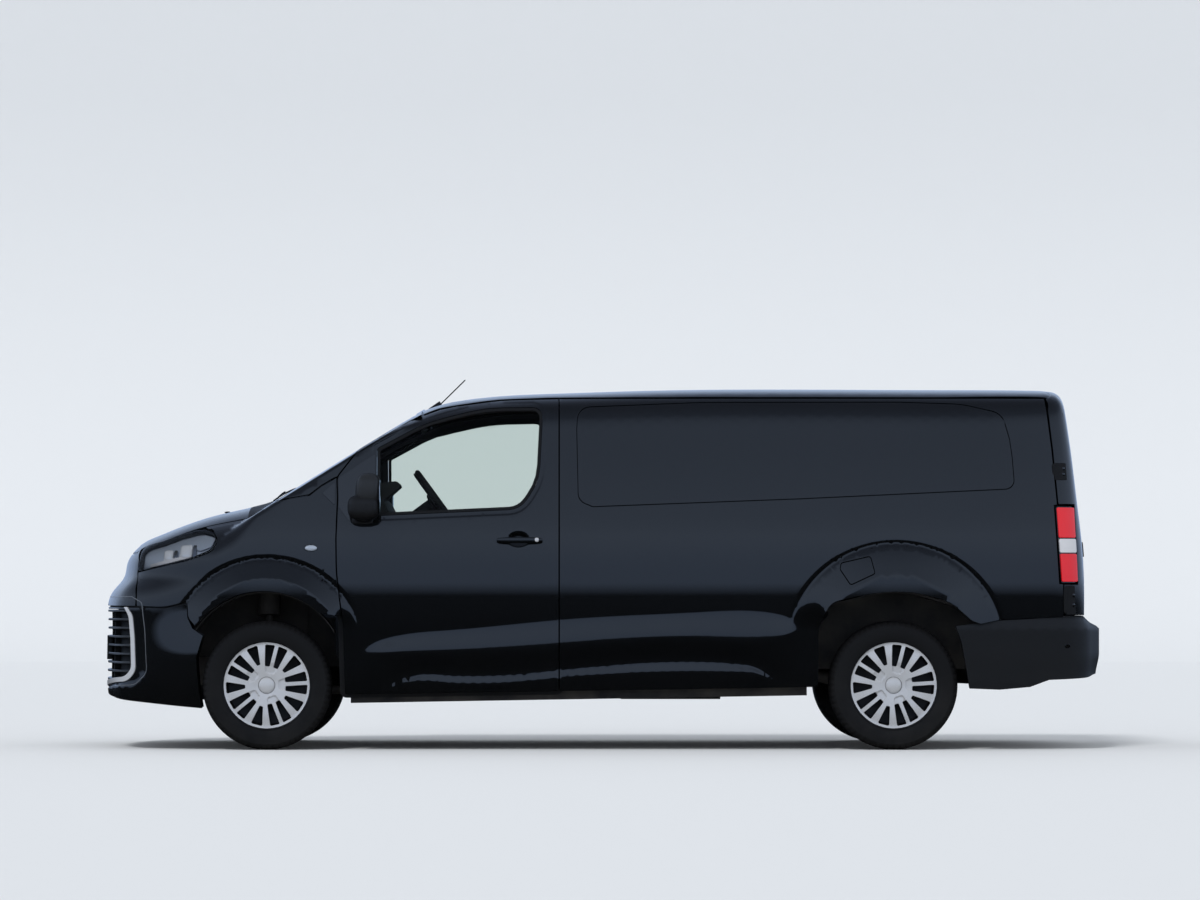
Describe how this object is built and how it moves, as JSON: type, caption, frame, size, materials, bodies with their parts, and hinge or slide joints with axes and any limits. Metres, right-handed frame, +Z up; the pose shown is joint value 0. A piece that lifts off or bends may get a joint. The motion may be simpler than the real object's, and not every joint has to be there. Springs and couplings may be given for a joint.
{
  "type": "panel van",
  "caption": "Long-bodied panel van with a solid load side, twin side-hinged rear doors, opening cab doors and bonnet, steered front wheels and free-rolling wheels.",
  "frame": {"origin": "on the ground below the middle of the overall length", "axes": "+X rearwards, +Y to the van's right, +Z up"},
  "size_m": [5.3305, 2.204, 1.9742],
  "materials": {
    "body_paint": "gloss metallic paint",
    "dark_trim": "grained moulded plastic",
    "gloss_trim": "gloss black moulding",
    "chassis": "underbody coating",
    "inner_trim": "soft grained cab trim",
    "seat_fabric": "woven seat cloth",
    "glass": "tinted safety glass",
    "lamp_clear": "clear lens",
    "lamp_red": "red and white lens",
    "tyre": "rubber",
    "wheel_silver": "silver lacquer",
    "cast": "raw casting",
    "steel": "galvanised steel"
  },
  "bodies": {
    "root": {"floor_pan": "chassis", "wheel_houses": "chassis", "arch_liners": "chassis", "side_panel_left": "body_paint", "side_panel_right": "body_paint", "sliding_door": "body_paint", "roof_panel": "body_paint", "cab_frame": "body_paint", "front_wings": "body_paint", "front_bumper": "body_paint", "nose_panel": "body_paint", "grille": "gloss_trim", "rear_bumper": "dark_trim", "windscreen": "glass", "headlamps": "lamp_clear", "tail_lamps": "lamp_red", "rear_hinge_roots": "dark_trim", "bulkhead": "inner_trim", "driver_seat": "seat_fabric", "passenger_seat": "seat_fabric", "dashboard": "inner_trim", "steering_wheel": "inner_trim", "engine_block": "cast", "radiator": "steel", "front_subframe": "chassis", "front_structure": "chassis", "rear_axle": "chassis", "fuel_tank": "chassis", "exhaust": "steel", "wipers": "dark_trim", "aerial": "dark_trim"},
    "front_door_left": {"front_door_left": "body_paint", "front_door_glass_left": "glass", "mirror_left": "dark_trim", "door_handle_left": "body_paint"},
    "rear_door_left": {"rear_door_left": "body_paint"},
    "knuckle_left": {"knuckle_left": "cast"},
    "road_wheel_front_left": {"tyre_front_left": "tyre", "wheel_front_left": "wheel_silver"},
    "road_wheel_rear_left": {"tyre_rear_left": "tyre", "wheel_rear_left": "wheel_silver"},
    "front_door_right": {"front_door_right": "body_paint", "front_door_glass_right": "glass", "mirror_right": "dark_trim", "door_handle_right": "body_paint"},
    "rear_door_right": {"rear_door_right": "body_paint"},
    "knuckle_right": {"knuckle_right": "cast"},
    "road_wheel_front_right": {"tyre_front_right": "tyre", "wheel_front_right": "wheel_silver"},
    "road_wheel_rear_right": {"tyre_rear_right": "tyre", "wheel_rear_right": "wheel_silver"},
    "bonnet": {"bonnet": "body_paint"}
  },
  "joints": [
    {"name": "front_door_left_hinge", "type": "hinge", "parent": "root", "child": "front_door_left", "pos_m": [-1.335, -0.948, 0.87], "axis": [0, 0, -1], "range_deg": [0, 70]},
    {"name": "rear_door_left_hinge", "type": "hinge", "parent": "root", "child": "rear_door_left", "pos_m": [2.404, -0.9365, 1.12], "axis": [0, 0, -1], "range_deg": [0, 180]},
    {"name": "steer_left", "type": "hinge", "parent": "root", "child": "knuckle_left", "pos_m": [-1.7625, -0.74, 0.275], "axis": [0, 0.2009, 0.9796], "range_deg": [-33, 33]},
    {"name": "wheel_front_left_spin", "type": "hinge", "parent": "knuckle_left", "child": "road_wheel_front_left", "pos_m": [-1.7625, -0.8, 0.337], "axis": [0, 1, 0], "continuous": true},
    {"name": "wheel_rear_left_spin", "type": "hinge", "parent": "root", "child": "road_wheel_rear_left", "pos_m": [1.5125, -0.8, 0.337], "axis": [0, 1, 0], "continuous": true},
    {"name": "front_door_right_hinge", "type": "hinge", "parent": "root", "child": "front_door_right", "pos_m": [-1.335, 0.948, 0.87], "axis": [0, 0, 1], "range_deg": [0, 70]},
    {"name": "rear_door_right_hinge", "type": "hinge", "parent": "root", "child": "rear_door_right", "pos_m": [2.404, 0.9365, 1.12], "axis": [0, 0, 1], "range_deg": [0, 180]},
    {"name": "steer_right", "type": "hinge", "parent": "root", "child": "knuckle_right", "pos_m": [-1.7625, 0.74, 0.275], "axis": [0, -0.2009, 0.9796], "range_deg": [-33, 33]},
    {"name": "wheel_front_right_spin", "type": "hinge", "parent": "knuckle_right", "child": "road_wheel_front_right", "pos_m": [-1.7625, 0.8, 0.337], "axis": [0, 1, 0], "continuous": true},
    {"name": "wheel_rear_right_spin", "type": "hinge", "parent": "root", "child": "road_wheel_rear_right", "pos_m": [1.5125, 0.8, 0.337], "axis": [0, 1, 0], "continuous": true},
    {"name": "bonnet_hinge", "type": "hinge", "parent": "root", "child": "bonnet", "pos_m": [-1.917, 0, 1.196], "axis": [0, 1, 0], "range_deg": [0, 50]}
  ],
  "couplings": [
    {"joint": "steer_right", "follows": "steer_left", "ratio": 1}
  ]
}
